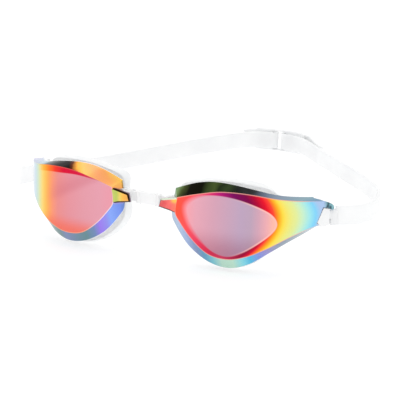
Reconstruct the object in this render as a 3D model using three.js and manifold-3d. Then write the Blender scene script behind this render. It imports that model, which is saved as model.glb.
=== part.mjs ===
// Swim goggles: two mirror-coated wrap lenses on hard frames with silicone face seals, joined by a
// flexible nose bridge and by a flat silicone strap with a slotted clip at the back of the head.
//
// Millimetres, +Z up. +X is to the right of someone facing the lenses, the lenses face -Y and the
// strap loops back to +Y. The goggles stand on the lower edges of the eyepieces at z = 0.
//
// Each eyepiece is worked out on the right (+X) side and mirrored. Its outlines are drawn in the
// front view (x, z) and laid on the wrap surface, y = wrap(x); a depth is measured behind that
// surface along its normal.

import * as THREE from 'three';
import { mergeVertices } from 'three/addons/utils/BufferGeometryUtils.js';
import Module from 'manifold-3d';

const wasm = await Module();
wasm.setup();

// ---- driving dimensions -----------------------------------------------------------------------

const GAP = 0.35;                 // running and fitting clearance between pieces

const WRAP_REACH = 75.5;          // half width of the pair of lenses
const WRAP_DEPTH = 34;            // how far the tail sits behind the nose
const WRAP_POWER = 5.4;           // flat over the eye, turning sharply at the temple

const LENS_WALL = 1.8;            // thickness of the lens
const RIM_WALL = 1.4;             // width of the rim's back edge
const FRAME_SIDE = 5;             // depth at which the frame's side wall starts
const FRAME_BACK = 7;             // depth of the frame's back face
const GASKET_FRONT = 7.5;         // depth of the gasket's front face

const LUG_DEPTH = 1.7;            // thickness of the lens's lug at the nose
const BRIDGE_PIVOT = { x: 9.8, y: 5.3, z: 26.2 };   // axis of a T-bar of the nose bridge
const BRIDGE_HEIGHT = 5.2;
const BRIDGE_BAR = 2.4;           // thickness of the bridge, front to back
const TBAR_RADIUS = 1.6;
const CLIP_WALL = 1.1;            // wall of the clip round a T-bar

const POST = { x: 74.4, depth: 4.3, radius: 1, low: 18.4, high: 28.0 };
const BARREL = { radius: 2.3, low: 20.9, high: 25.0 };   // of the strap clip, round the post
const NOTCH_LOW = 20.9;           // lower edge of the tail notch
const NOTCH_HIGH = 27.5;          // upper edge of the tail notch

const STRAP_WIDTH = 8.8;
const STRAP_THICK = 1.6;
const STRAP_LOW = 17.8;           // height of the strap's lower edge
const LEFT_DROOP = 9.8;           // how far the left half of the strap sinks between its ends

const BACK_Y = 163.5;             // middle of the back clip's plate, behind the nose
const BACK_CURVE = 55;            // radius of the plate, round the back of the head
const PLATE = { length: 29.4, height: 11.8, thick: 2.4 };
const SLOT = { half: 3.9, height: 9.9 };   // the slot in its middle, for both ends of the strap

// ---- colours ----------------------------------------------------------------------------------

const finish = {
  mirror: { color: 0xd9485a, roughness: 0.12, metalness: 0.7 },
  frame: { color: 0xf0f1f0, roughness: 0.4, metalness: 0 },
  silicone: { color: 0xeceeed, roughness: 0.5, metalness: 0 },
  clip: { color: 0xf3f4f4, roughness: 0.35, metalness: 0 },
};

// ---- the wrap surface -------------------------------------------------------------------------

function wrap(x) {
  return WRAP_DEPTH * (x / WRAP_REACH) ** WRAP_POWER;
}

function wrapSlope(x) {
  return WRAP_POWER * wrap(x) / x;
}

// The point at (x, z) in the front view, `depth` behind the wrap surface.
function onWrap(x, z, depth) {
  const slope = wrapSlope(x);
  const length = Math.hypot(1, slope);
  return new THREE.Vector3(x - depth * slope / length, wrap(x) + depth / length, z);
}

// ---- outlines ---------------------------------------------------------------------------------

// Stations round an eyepiece, from the nose end's upper corner over the top to the tail, down the
// tail and back along the bottom. Each has the edge of the front face, the rim and the eye opening.
const TOP = [
  { face: [15.8, 30.2], rim: [12.8, 33.0], rimDepth: 5, eye: [21.0, 29.0] },
  { face: [25, 32.9], rim: [23.5, 37.0], rimDepth: 5, eye: [26, 32.2] },
  { face: [36, 35.3], rim: [34, 38.2], rimDepth: 5, eye: [36, 32.9] },
  { face: [48, 35.3], rim: [47, 36.8], rimDepth: 5, eye: [46, 31.7] },
  { face: [60, 33.1], rim: [60, 33.9], rimDepth: 5, eye: [53, 29.4] },
  { face: [70, 31.0], rim: [70.3, 31.7], rimDepth: 5, eye: [57.2, 27.0] },
  { face: [75.9, 29.3], rim: [76.2, 29.9], rimDepth: 5, eye: [59, 25.0] },
];
const BOTTOM = [
  { face: [75.9, 20.9], rim: [76.2, 19.6], rimDepth: 5, eye: [59.2, 21.6] },
  { face: [70, 19.4], rim: [70.6, 16.2], rimDepth: 4.5, eye: [58.2, 18.6] },
  { face: [63, 16.1], rim: [64, 12.6], rimDepth: 4, eye: [55.8, 15.8] },
  { face: [56, 11.9], rim: [57.6, 8.9], rimDepth: 3.4, eye: [51.5, 12.4] },
  { face: [47.8, 7.8], rim: [48.8, 3.6], rimDepth: 3, eye: [46, 9.0] },
  { face: [39.6, 5.8], rim: [39.8, 1.1], rimDepth: 3, eye: [39.6, 7.4] },
  { face: [31, 7.0], rim: [30, 2.8], rimDepth: 3, eye: [33, 8.2] },
  { face: [23.5, 12.3], rim: [20.6, 8.4], rimDepth: 3.3, eye: [26.6, 12.1] },
  { face: [17.6, 19.0], rim: [13.8, 16.4], rimDepth: 4, eye: [21.9, 18.0] },
  { face: [15.0, 23.5], rim: [11.4, 21.8], rimDepth: 4.7, eye: [20, 23.0] },
  TOP[0],
];

// The gasket's own stations: the flange behind the rim, and the lip that meets the face.
const GASKET = [
  { flange: [13.6, 27.0], lip: [13.2, 27.0] },
  { flange: [14.2, 33.4], lip: [13.8, 33.8] },
  { flange: [23.5, 36.8], lip: [23.5, 36.9] },
  { flange: [35, 38.2], lip: [35, 38.3] },
  { flange: [48, 37.6], lip: [48.5, 38.0] },
  { flange: [58, 35.2], lip: [59, 35.4] },
  { flange: [64.5, 27.5], lip: [66, 27.0] },
  { flange: [62.4, 12.6], lip: [64.5, 11.2] },
  { flange: [56, 6.4], lip: [57.4, 4.7] },
  { flange: [48.2, 2.1], lip: [48.8, 0.7] },
  { flange: [39.5, 0.5], lip: [39.5, -0.5] },
  { flange: [28.7, 1.9], lip: [28, 0.9] },
  { flange: [19, 7.6], lip: [18, 6.9] },
  { flange: [13.0, 15.6], lip: [12.2, 15.0] },
];

const STEPS_PER_STATION = 4;

// A closed outline through one key of the stations: curves along the top and the bottom, with
// corners at the nose end and at the tail.
function eyepieceOutline(key) {
  const top = new THREE.SplineCurve(TOP.map((s) => new THREE.Vector2(...s[key])));
  const bottom = new THREE.SplineCurve(BOTTOM.map((s) => new THREE.Vector2(...s[key])));
  const tail = new THREE.LineCurve(top.getPoint(1), bottom.getPoint(0));
  return [
    ...top.getPoints((TOP.length - 1) * STEPS_PER_STATION).slice(0, -1),
    ...tail.getPoints(STEPS_PER_STATION).slice(0, -1),
    ...bottom.getPoints((BOTTOM.length - 1) * STEPS_PER_STATION).slice(0, -1),
  ];
}

// The depth of the rim at each point of its outline.
function rimDepths() {
  const between = (stations) => stations.slice(0, -1).flatMap((station, i) => {
    const steps = [...Array(STEPS_PER_STATION).keys()].map((k) => k / STEPS_PER_STATION);
    return steps.map((t) => THREE.MathUtils.lerp(station.rimDepth, stations[i + 1].rimDepth, t));
  });
  return between([...TOP, ...BOTTOM]);
}

function gasketOutline(key) {
  const points = GASKET.map((s) => new THREE.Vector3(s[key][0], s[key][1], 0));
  const curve = new THREE.CatmullRomCurve3(points, true);
  const samples = curve.getPoints(GASKET.length * STEPS_PER_STATION).slice(0, -1);
  return samples.map((p) => new THREE.Vector2(p.x, p.y));
}

// The outline moved inwards by `distance`; the outlines run clockwise in the front view.
function inset(outline, distance) {
  return outline.map((point, i) => {
    const before = outline.at(i - 1);
    const after = outline[(i + 1) % outline.length];
    const along = after.clone().sub(before).normalize();
    return new THREE.Vector2(point.x + along.y * distance, point.y - along.x * distance);
  });
}

function shrink(outline, centre, factor) {
  return outline.map((p) => p.clone().sub(centre).multiplyScalar(factor).add(centre));
}

// An outline laid at one depth, or at a depth for each of its points.
function ring(outline, depth) {
  return outline.map((p, i) => onWrap(p.x, p.y, Array.isArray(depth) ? depth[i] : depth));
}

// Rings that follow the wrap surface from one outline out to another, at one depth.
function ringsBetween(inner, outer, depth, count) {
  const rings = [];
  for (let r = 0; r <= count; r += 1) {
    rings.push(ring(inner.map((p, i) => p.clone().lerp(outer[i], r / count)), depth));
  }
  return rings;
}

// ---- solids -----------------------------------------------------------------------------------

function signedVolume(positions, indices) {
  const [a, b, c] = [new THREE.Vector3(), new THREE.Vector3(), new THREE.Vector3()];
  let sum = 0;
  for (let i = 0; i < indices.length; i += 3) {
    a.fromArray(positions, 3 * indices[i]);
    b.fromArray(positions, 3 * indices[i + 1]);
    c.fromArray(positions, 3 * indices[i + 2]);
    sum += a.dot(b.cross(c));
  }
  return sum;
}

function indexedGeometry(positions, indices) {
  const outward = [...indices];
  if (signedVolume(positions, indices) < 0) outward.reverse();
  const geometry = new THREE.BufferGeometry();
  geometry.setAttribute('position', new THREE.Float32BufferAttribute(positions, 3));
  geometry.setIndex(outward);
  return geometry;
}

// A closed skin over rings of equal length. With caps, the first and the last ring close on a
// point each; without, the last ring joins the first.
function ringSolid(rings, caps = null) {
  const count = rings[0].length;
  const positions = rings.flat().flatMap((p) => p.toArray());
  const indices = [];
  const bands = caps ? rings.length - 1 : rings.length;
  for (let r = 0; r < bands; r += 1) {
    const next = (r + 1) % rings.length;
    for (let i = 0; i < count; i += 1) {
      const j = (i + 1) % count;
      indices.push(r * count + i, r * count + j, next * count + j);
      indices.push(r * count + i, next * count + j, next * count + i);
    }
  }
  if (caps) {
    const firstCap = rings.length * count;
    positions.push(...caps[0].toArray(), ...caps[1].toArray());
    const last = (rings.length - 1) * count;
    for (let i = 0; i < count; i += 1) {
      const j = (i + 1) % count;
      indices.push(firstCap, j, i);
      indices.push(firstCap + 1, last + i, last + j);
    }
  }
  return indexedGeometry(positions, indices);
}

// A front-view outline carried through the wrap surface, square to it.
function wrappedPrism(outline, centre, from, to) {
  const caps = [from, to].map((depth) => onWrap(centre.x, centre.y, depth));
  return ringSolid([ring(outline, from), ring(outline, to)], caps);
}

// A plan-view outline in X and Y raised from z = low to z = high.
function plate(outline, low, high, holes = []) {
  const shape = new THREE.Shape(outline.map((p) => new THREE.Vector2(p.x, p.y)));
  shape.holes = holes.map((hole) => new THREE.Path(hole.map((p) => new THREE.Vector2(p.x, p.y))));
  const geometry = new THREE.ExtrudeGeometry(shape, { depth: high - low, bevelEnabled: false });
  return geometry.translate(0, 0, low);
}

// A front-view outline in X and Z carried from y = front to y = back.
function slab(outline, front, back, holes = []) {
  const geometry = plate(outline, 0, back - front, holes);
  return geometry.rotateX(Math.PI / 2).translate(0, back, 0);
}

function upright(x, y, radius, low, high, sides = 24) {
  const geometry = new THREE.CylinderGeometry(radius, radius, high - low, sides);
  return geometry.rotateX(Math.PI / 2).translate(x, y, (low + high) / 2);
}

const SLIVER = 0.02;              // cuts leave no edges or ridges finer than this

function toManifold(geometry) {
  const bare = new THREE.BufferGeometry();
  bare.setAttribute('position', geometry.getAttribute('position').clone());
  if (geometry.index) bare.setIndex([...geometry.index.array]);
  const merged = mergeVertices(bare, 1e-4);
  return new wasm.Manifold(new wasm.Mesh({
    numProp: 3,
    vertProperties: new Float32Array(merged.getAttribute('position').array),
    triVerts: new Uint32Array(merged.index.array),
  }));
}

function toGeometry(manifold) {
  const mesh = manifold.simplify(SLIVER).getMesh();
  const geometry = new THREE.BufferGeometry();
  geometry.setAttribute('position', new THREE.Float32BufferAttribute(mesh.vertProperties, 3));
  geometry.setIndex([...mesh.triVerts]);
  return geometry;
}

function join(first, ...others) {
  return toGeometry(others.reduce((sum, other) => sum.add(toManifold(other)), toManifold(first)));
}

function cut(body, ...tools) {
  return toGeometry(tools.reduce((rest, tool) => rest.subtract(toManifold(tool)), toManifold(body)));
}

function mirrored(geometry) {
  const copy = geometry.clone().scale(-1, 1, 1);
  const source = copy.index
    ? [...copy.index.array]
    : [...Array(copy.getAttribute('position').count).keys()];
  copy.deleteAttribute('normal');
  copy.deleteAttribute('uv');
  copy.setIndex(source.reverse());
  return copy;
}

function arc(centreX, centreY, radius, from, to, steps) {
  const points = [];
  for (let i = 0; i <= steps; i += 1) {
    const angle = THREE.MathUtils.degToRad(from + (to - from) * i / steps);
    const x = centreX + radius * Math.cos(angle);
    const y = centreY + radius * Math.sin(angle);
    points.push(new THREE.Vector2(x, y));
  }
  return points;
}

function roundedBox(centreX, centreY, width, height, radius, steps = 4) {
  const [right, up] = [width / 2 - radius, height / 2 - radius];
  return [
    ...arc(centreX + right, centreY + up, radius, 0, 90, steps),
    ...arc(centreX - right, centreY + up, radius, 90, 180, steps),
    ...arc(centreX - right, centreY - up, radius, 180, 270, steps),
    ...arc(centreX + right, centreY - up, radius, 270, 360, steps),
  ];
}

const vec2 = (x, y) => new THREE.Vector2(x, y);

// ---- eyepiece ---------------------------------------------------------------------------------

const EYE_CENTRE = vec2(42, 21);
const LUG = [
  vec2(6.9, 24.6), vec2(7.8, 28.3), vec2(13, 29.5), vec2(19, 30.4), vec2(19, 22), vec2(12.4, 23.6),
];

// What the strap clip needs free at the tail, seen from the front. The hook above it curls down
// towards its tip, and a short prong stays below it.
function tailNotch(clearance) {
  const outline = [
    vec2(70.9 - clearance, NOTCH_LOW - 0.2 - clearance),
    vec2(72.4 - clearance, NOTCH_HIGH + clearance),
    vec2(73.8, 26.8 + clearance),
    vec2(75.0, 25.4 + clearance),
    vec2(75.3, 26.6 + clearance),
    vec2(74.9, 27.9 + clearance),
    vec2(74.1, 29.0 + clearance),
    vec2(73.0, 30.0 + clearance),
    vec2(71.4, 31.2 + clearance),
    vec2(84, 40),
    vec2(84, 12),
    vec2(71.9 - clearance, 12),
    vec2(71.6 - clearance, NOTCH_LOW - 0.9),
  ];
  return wrappedPrism(outline, vec2(78, 24), -3, 9);
}

function lensGeometry() {
  const face = eyepieceOutline('face');
  const rim = eyepieceOutline('rim');
  const innerFace = inset(face, 1);
  const innerRim = inset(rim, RIM_WALL);
  const fractions = [0.3, 0.55, 0.72, 0.85, 0.93];
  const front = fractions.map((f) => ring(shrink(face, EYE_CENTRE, f), 0));
  const back = fractions.map((f) => ring(shrink(innerFace, EYE_CENTRE, f), LENS_WALL)).reverse();
  const rings = [
    ...front,
    ring(face, 0),
    ring(rim, rimDepths()),
    ring(innerRim, rimDepths()),
    ring(innerFace, LENS_WALL),
    ...back,
  ];
  const caps = [0, LENS_WALL].map((depth) => onWrap(EYE_CENTRE.x, EYE_CENTRE.y, depth));
  const shell = ringSolid(rings, caps);
  const lug = slab(LUG, 0.05, LUG_DEPTH);
  const half = BRIDGE_HEIGHT / 2 + GAP;
  const window = [
    vec2(8, BRIDGE_PIVOT.z - half), vec2(17, BRIDGE_PIVOT.z - half),
    vec2(17, BRIDGE_PIVOT.z + half), vec2(8, BRIDGE_PIVOT.z + half),
  ];
  const behindHook = [vec2(72, 12), vec2(84, 12), vec2(84, 28.6), vec2(72, 29.0)];
  return cut(
    join(shell, lug),
    tailNotch(0),
    wrappedPrism(behindHook, vec2(78, 21), LENS_WALL + 0.1, 9),
    slab(window, LENS_WALL, 9),
  );
}

const TAIL = onWrap(POST.x, 0, POST.depth);       // the strap post's axis, in plan

// Two ears above and below the notch for the strap post, and the block between them that fills
// the notch up to the strap clip's barrel.
function tailBlock() {
  const box = (from, to, low, high) => [
    vec2(from, low), vec2(from, high), vec2(to, high), vec2(to, low),
  ];
  const filling = [
    vec2(71.25, 21.0), vec2(72.75, NOTCH_HIGH - 0.5), vec2(74.4, 26), vec2(74.4, 18.8),
    vec2(72.3, 18.8),
  ];
  return [
    wrappedPrism(box(69.7, 75.2, 25.8, 27.7), vec2(73, 26.8), 2.5, 6.5),
    wrappedPrism(box(72.2, 75.2, 18.7, 20.5), vec2(74, 19.6), 1.8, 6.3),
    wrappedPrism(box(68.9, 73.3, 21.1, NOTCH_HIGH - 0.2), vec2(71, 24), 2.5, 6.7),
    wrappedPrism(filling, vec2(73, 23), 0.3, 6.2),
  ];
}

// The spring clip that holds the nose bridge's T-bar, open towards the nose.
function bridgeClip() {
  const { x, y, z } = BRIDGE_PIVOT;
  const inner = TBAR_RADIUS + GAP;
  const outer = inner + CLIP_WALL;
  const half = BRIDGE_HEIGHT / 2 - 0.2;
  const hook = [...arc(x, y, outer, -130, 130, 20), ...arc(x, y, inner, 130, -130, 20)];
  const [from, to, side] = [x + inner + 0.2, 19, 1.6];
  const stem = [vec2(from, y - side), vec2(to, y - side), vec2(to, y + side), vec2(from, y + side)];
  return [plate(hook, z - half, z + half), plate(stem, z - half, z + half)];
}

function frameGeometry() {
  const face = inset(eyepieceOutline('face'), 1.75);
  const rim = inset(eyepieceOutline('rim'), RIM_WALL + 0.55);
  const eye = eyepieceOutline('eye');
  const shell = ringSolid([
    ...ringsBetween(eye, face, LENS_WALL + GAP, 4),
    ring(rim, FRAME_SIDE),
    ...ringsBetween(rim, inset(eye, -0.7), FRAME_BACK, 4),
  ]);
  return cut(
    join(cut(shell, tailNotch(0.4)), ...tailBlock(), ...bridgeClip()),
    upright(TAIL.x, TAIL.y, BARREL.radius + GAP, BARREL.low - GAP, BARREL.high + GAP, 32),
    upright(TAIL.x, TAIL.y, POST.radius + GAP, 10, 40),
  );
}

function gasketGeometry() {
  const flange = gasketOutline('flange');
  const lip = gasketOutline('lip');
  return ringSolid([
    ring(inset(flange, 4.6), GASKET_FRONT),
    ring(inset(flange, 0.9), GASKET_FRONT),
    ring(flange, GASKET_FRONT - 0.3),
    ring(lip, 12.5),
    ring(inset(lip, 0.9), 14),
    ring(inset(lip, 3.4), 13.6),
    ring(inset(lip, 4.2), 11.5),
    ring(inset(flange, 4.9), 8.8),
  ]);
}

function strapPostGeometry() {
  const shaft = upright(TAIL.x, TAIL.y, POST.radius, POST.low - 0.6, POST.high);
  const head = upright(TAIL.x, TAIL.y, POST.radius + 0.8, POST.low - 0.8, POST.low);
  return join(shaft, head);
}

// ---- strap clip: the end block that turns on the post -------------------------------------------

const CLIP_DIRECTION = vec2(0.85, 0.527).normalize();   // from the post to the strap, in plan
const CLIP_NECK = 3.2;                                   // clear of the ears round the post
const CLIP_REACH = 6.4;

// A barrel on the post, and outside the ears a block that reaches down to the strap's lower edge.
function strapClipGeometry() {
  const hub = vec2(TAIL.x, TAIL.y);
  const side = vec2(-CLIP_DIRECTION.y, CLIP_DIRECTION.x);
  const at = (along, across) =>
    hub.clone().addScaledVector(CLIP_DIRECTION, along).addScaledVector(side, across);
  const neck = [at(0, -1.9), at(CLIP_NECK + 0.5, -1.7), at(CLIP_NECK + 0.5, 1.7), at(0, 1.9)];
  const head = [at(CLIP_NECK, -1.7), at(CLIP_REACH, -1.5), at(CLIP_REACH, 1.5), at(CLIP_NECK, 1.7)];
  const block = join(
    upright(hub.x, hub.y, BARREL.radius, BARREL.low, BARREL.high),
    plate(neck, BARREL.low + 0.1, BARREL.high - 0.1),
    plate(head, STRAP_LOW + 0.2, BARREL.high - 0.1),
  );
  return cut(block, upright(hub.x, hub.y, POST.radius + GAP, 10, 40));
}

// ---- strap --------------------------------------------------------------------------------------

// Plan view, from the strap clip round to the slot of the back clip. Both sides share the run at
// the back; the left half, drawn here mirrored, bows out further beside the eyepiece.
const RIGHT_BOW = [
  [77.6, 37.6], [81.8, 40.9], [84.6, 44.9], [86.4, 51], [86.2, 62], [83, 74], [77.3, 84.5],
];
const LEFT_BOW = [
  [77.6, 37.6], [84, 40.2], [90.5, 44], [94, 50], [94.6, 57], [91.5, 66], [85, 76], [77, 86.4],
];
const BACK_RUN = [
  [68, 97], [59, 107.2], [48, 119.7], [36, 133.4], [26, 145], [19.8, 152.2], [14.4, 157.6],
  [9.2, 160.4],
];
const LOOP_RADIUS = PLATE.thick / 2 + 0.5 + STRAP_THICK / 2;   // of the strap's middle, in the slot
const LOOP_X = SLOT.half + 0.3;
const LONG_FREE_END = [[9.6, 165.5], [16.2, 163.9], [22.2, 155.6], [27.6, 146.6], [31.8, 141.8]];
const SHORT_FREE_END = [[9.6, 165.5], [16.2, 163.9], [20.0, 159.6]];

// A flat band standing on edge along a run in plan. `droop` is how far it sinks between the strap
// clip and the back clip, most of it in the first half.
function strapGeometry(bow, freeEnd, droop) {
  const loop = arc(LOOP_X, BACK_Y - 0.2, LOOP_RADIUS, 270, 90, 8).map((p) => [p.x, p.y]);
  const plan = [...bow, ...BACK_RUN, ...loop, ...freeEnd];
  const run = plan.map(([x, y]) => new THREE.Vector3(x, y, 0));
  const curve = new THREE.CatmullRomCurve3(run);
  const steps = (run.length - 1) * STEPS_PER_STATION;
  const lengths = curve.getLengths(steps);
  const freeSpan = lengths[(bow.length + BACK_RUN.length - 1) * STEPS_PER_STATION];
  const rings = [];
  for (let i = 0; i <= steps; i += 1) {
    const middle = curve.getPoint(i / steps);
    const along = curve.getTangent(i / steps);
    const share = Math.min(1, lengths[i] / freeSpan);
    const low = STRAP_LOW - droop * Math.abs(Math.sin(Math.PI * share ** 0.56)) ** 1.6;
    const edge = (side, z) => new THREE.Vector3(
      middle.x - along.y * side * STRAP_THICK / 2,
      middle.y + along.x * side * STRAP_THICK / 2,
      z,
    );
    const high = low + STRAP_WIDTH;
    rings.push([edge(-1, low), edge(1, low), edge(1, high), edge(-1, high)]);
  }
  const centre = (corners) => corners[0].clone().lerp(corners[2], 0.5);
  return ringSolid(rings, [centre(rings[0]), centre(rings.at(-1))]);
}

// ---- back clip and bridge -----------------------------------------------------------------------

// A curved plate with one slot in the middle: each end of the strap comes out through the slot and
// folds back round its own half of the plate.
function backClipGeometry() {
  const centreY = BACK_Y - BACK_CURVE;
  const end = THREE.MathUtils.radToDeg(Math.asin((PLATE.length - PLATE.thick) / 2 / BACK_CURVE));
  const tip = arc(0, centreY, BACK_CURVE, 90 - end, 90 + end, 1);
  const band = [
    ...arc(0, centreY, BACK_CURVE + PLATE.thick / 2, 90 - end, 90 + end, 24),
    ...arc(tip[1].x, tip[1].y, PLATE.thick / 2, 90 + end, 270 + end, 6).slice(1, -1),
    ...arc(0, centreY, BACK_CURVE - PLATE.thick / 2, 90 + end, 90 - end, 24),
    ...arc(tip[0].x, tip[0].y, PLATE.thick / 2, -90 - end, 90 - end, 6).slice(1, -1),
  ];
  const middle = STRAP_LOW + STRAP_WIDTH / 2;
  const outline = roundedBox(0, middle, PLATE.length, PLATE.height, 2.5);
  const slot = roundedBox(0, middle, 2 * SLOT.half, SLOT.height, 0.8);
  const front = slab(outline, BACK_Y - 8, BACK_Y + 8, [slot]);
  const bent = toManifold(plate(band, 0, 50)).intersect(toManifold(front));
  return toGeometry(bent);
}

function noseBridgeGeometry() {
  const { x, y, z } = BRIDGE_PIVOT;
  const bar = (halfLength, thick, tall) => new THREE.ExtrudeGeometry(
    new THREE.Shape(roundedBox(0, 0, tall, thick, thick / 2 - 0.05)),
    { depth: 2 * halfLength, bevelEnabled: false },
  ).translate(0, 0, -halfLength).rotateY(Math.PI / 2).translate(0, y, z);
  const collar = (at) => bar(0.4, BRIDGE_BAR + 0.9, BRIDGE_HEIGHT + 0.9).translate(at, 0, 0);
  const half = BRIDGE_HEIGHT / 2;
  const tbar = (at) => upright(at, y, TBAR_RADIUS, z - half, z + half);
  return join(
    bar(x, BRIDGE_BAR - 1.2, BRIDGE_HEIGHT - 0.6),
    bar(6, BRIDGE_BAR, BRIDGE_HEIGHT),
    ...[-5.2, -3.7, 3.7, 5.2].map(collar),
    ...[-x, x].map(tbar),
  );
}

// ---- assembly -----------------------------------------------------------------------------------

const goggles = new THREE.Group();

function addPiece(parent, name, geometry, look) {
  const mesh = new THREE.Mesh(geometry, new THREE.MeshStandardMaterial(finish[look]));
  mesh.name = name;
  parent.add(mesh);
  return mesh;
}

const perSide = [
  ['lens', lensGeometry(), 'mirror'],
  ['frame', frameGeometry(), 'frame'],
  ['gasket', gasketGeometry(), 'silicone'],
  ['strap_post', strapPostGeometry(), 'frame'],
  ['strap_clip', strapClipGeometry(), 'clip'],
];
for (const [name, geometry, look] of perSide) {
  addPiece(goggles, `${name}_right`, geometry, look);
  addPiece(goggles, `${name}_left`, mirrored(geometry), look);
}

addPiece(goggles, 'strap_right', strapGeometry(RIGHT_BOW, LONG_FREE_END, 0), 'silicone');
addPiece(goggles, 'strap_left', mirrored(strapGeometry(LEFT_BOW, SHORT_FREE_END, LEFT_DROOP)), 'silicone');
addPiece(goggles, 'back_clip', backClipGeometry(), 'clip');
addPiece(goggles, 'nose_bridge', noseBridgeGeometry(), 'clip');

// The origin goes under the middle of the whole object.
const bounds = new THREE.Box3().setFromObject(goggles);
goggles.position.set(
  -(bounds.min.x + bounds.max.x) / 2,
  -(bounds.min.y + bounds.max.y) / 2,
  -bounds.min.z,
);

export default goggles;
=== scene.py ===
"""Swim goggles: mirror-coated wrap lenses, milky silicone seals and strap, white fittings.

The CAD model is the frame. The lenses, seals, strap, clips and nose bridge are rebuilt here as
fine meshes on the same outlines; the eyepiece frames and strap posts keep their CAD shape. Shapes
are worked out in millimetres in the goggles' own layout: x from the middle towards the temple,
y behind the nose, z up. The right side is built, and mirrored for the left.
"""

import math

import bmesh
import bpy
import numpy as np
from mathutils import Matrix, Vector


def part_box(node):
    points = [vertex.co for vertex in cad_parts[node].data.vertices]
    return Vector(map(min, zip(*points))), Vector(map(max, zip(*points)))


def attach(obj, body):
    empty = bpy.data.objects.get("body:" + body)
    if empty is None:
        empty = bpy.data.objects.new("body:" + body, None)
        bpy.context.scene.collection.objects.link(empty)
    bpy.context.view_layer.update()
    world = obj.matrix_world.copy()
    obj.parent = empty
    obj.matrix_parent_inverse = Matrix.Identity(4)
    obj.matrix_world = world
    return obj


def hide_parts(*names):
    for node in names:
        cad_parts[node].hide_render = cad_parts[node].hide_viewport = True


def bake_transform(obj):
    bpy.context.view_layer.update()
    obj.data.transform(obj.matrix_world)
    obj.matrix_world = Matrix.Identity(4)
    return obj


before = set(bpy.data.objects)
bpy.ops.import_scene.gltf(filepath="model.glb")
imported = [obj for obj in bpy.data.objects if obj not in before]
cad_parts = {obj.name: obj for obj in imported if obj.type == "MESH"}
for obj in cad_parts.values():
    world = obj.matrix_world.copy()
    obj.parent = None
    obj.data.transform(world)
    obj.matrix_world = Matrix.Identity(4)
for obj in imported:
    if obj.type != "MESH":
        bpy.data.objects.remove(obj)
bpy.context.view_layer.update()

MM = 0.001
RIGHT, LEFT = "right", "left"
SIGN = {RIGHT: 1, LEFT: -1}

# ---- the goggles' layout, as in the CAD model -------------------------------------------------

WRAP_REACH = 75.5          # half width of the pair of lenses
WRAP_DEPTH = 34            # how far the tail sits behind the nose
WRAP_POWER = 5.4           # flat over the eye, turning sharply at the temple
LENS_WALL = 1.8
RIM_WALL = 1.4
LUG_DEPTH = 1.7
GASKET_FRONT = 7.5
BRIDGE = Vector((9.8, 5.3, 26.2))          # a T-bar of the nose bridge
BRIDGE_HEIGHT = 5.2
BRIDGE_BAR = 2.4
TBAR_RADIUS = 1.6
POST_X, POST_DEPTH, POST_RADIUS = 74.4, 4.3, 1.0
BARREL_RADIUS, BARREL_LOW, BARREL_HIGH = 2.3, 20.9, 25.0
NOTCH_LOW, NOTCH_HIGH = 20.9, 27.5
CLIP_DIRECTION = Vector((0.85, 0.527)).normalized()
CLIP_NECK, CLIP_REACH = 3.2, 6.4
STRAP_WIDTH = 8.8
STRAP_THICK = 1.6
STRAP_LOW = 17.8
LEFT_DROOP = 9.8
BACK_Y = 163.5
BACK_CURVE = 55
PLATE_LENGTH, PLATE_HEIGHT, PLATE_THICK = 29.4, 11.8, 2.4
SLOT_HALF, SLOT_HEIGHT = 3.9, 9.9

# Stations round an eyepiece: the front face's edge, the rim and the rim's depth.
TOP = [
    ((15.8, 30.2), (12.8, 33.0), 5),
    ((25, 32.9), (23.5, 37.0), 5),
    ((36, 35.3), (34, 38.2), 5),
    ((48, 35.3), (47, 36.8), 5),
    ((60, 33.1), (60, 33.9), 5),
    ((70, 31.0), (70.3, 31.7), 5),
    ((75.9, 29.3), (76.2, 29.9), 5),
]
BOTTOM = [
    ((75.9, 20.9), (76.2, 19.6), 5),
    ((70, 19.4), (70.6, 16.2), 4.5),
    ((63, 16.1), (64, 12.6), 4),
    ((56, 11.9), (57.6, 8.9), 3.4),
    ((47.8, 7.8), (48.8, 3.6), 3),
    ((39.6, 5.8), (39.8, 1.1), 3),
    ((31, 7.0), (30, 2.8), 3),
    ((23.5, 12.3), (20.6, 8.4), 3.3),
    ((17.6, 19.0), (13.8, 16.4), 4),
    ((15.0, 23.5), (11.4, 21.8), 4.7),
    TOP[0],
]
FACE, RIM, DEPTH = range(3)

# The seal: its flange behind the rim, and the lip that meets the face.
GASKET = [
    ((13.6, 27.0), (13.2, 27.0)),
    ((14.2, 33.4), (13.8, 33.8)),
    ((23.5, 36.8), (23.5, 36.9)),
    ((35, 38.2), (35, 38.3)),
    ((48, 37.6), (48.5, 38.0)),
    ((58, 35.2), (59, 35.4)),
    ((64.5, 27.5), (66, 27.0)),
    ((62.4, 12.6), (64.5, 11.2)),
    ((56, 6.4), (57.4, 4.7)),
    ((48.2, 2.1), (48.8, 0.7)),
    ((39.5, 0.5), (39.5, -0.5)),
    ((28.7, 1.9), (28, 0.9)),
    ((19, 7.6), (18, 6.9)),
    ((13.0, 15.6), (12.2, 15.0)),
]
FLANGE, LIP = range(2)

LUG = [(6.9, 24.6), (7.8, 28.3), (13, 29.5), (19, 30.4), (19, 22), (12.4, 23.6)]
EYE_CENTRE = Vector((42, 21))

# The hook over the strap clip, from its root round its tip to its outer side.
HOOK = [
    (72.4, NOTCH_HIGH), (73.8, 26.8), (75.0, 25.4), (75.3, 26.6), (74.9, 27.9), (74.1, 29.0),
    (73.0, 30.0), (71.4, 31.2),
]

# The boundary of the optical zone on the lens's face.
OVAL = [
    (19.4, 26.0), (22.2, 30.0), (28, 32.6), (36, 33.4), (44, 32.4), (51.5, 29.8), (56.6, 26.6),
    (58.6, 22.6), (57.2, 18.8), (52.5, 14.2), (46, 9.6), (39.6, 7.2), (33, 8.6), (26.6, 13.4),
    (21.6, 19.4),
]

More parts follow.
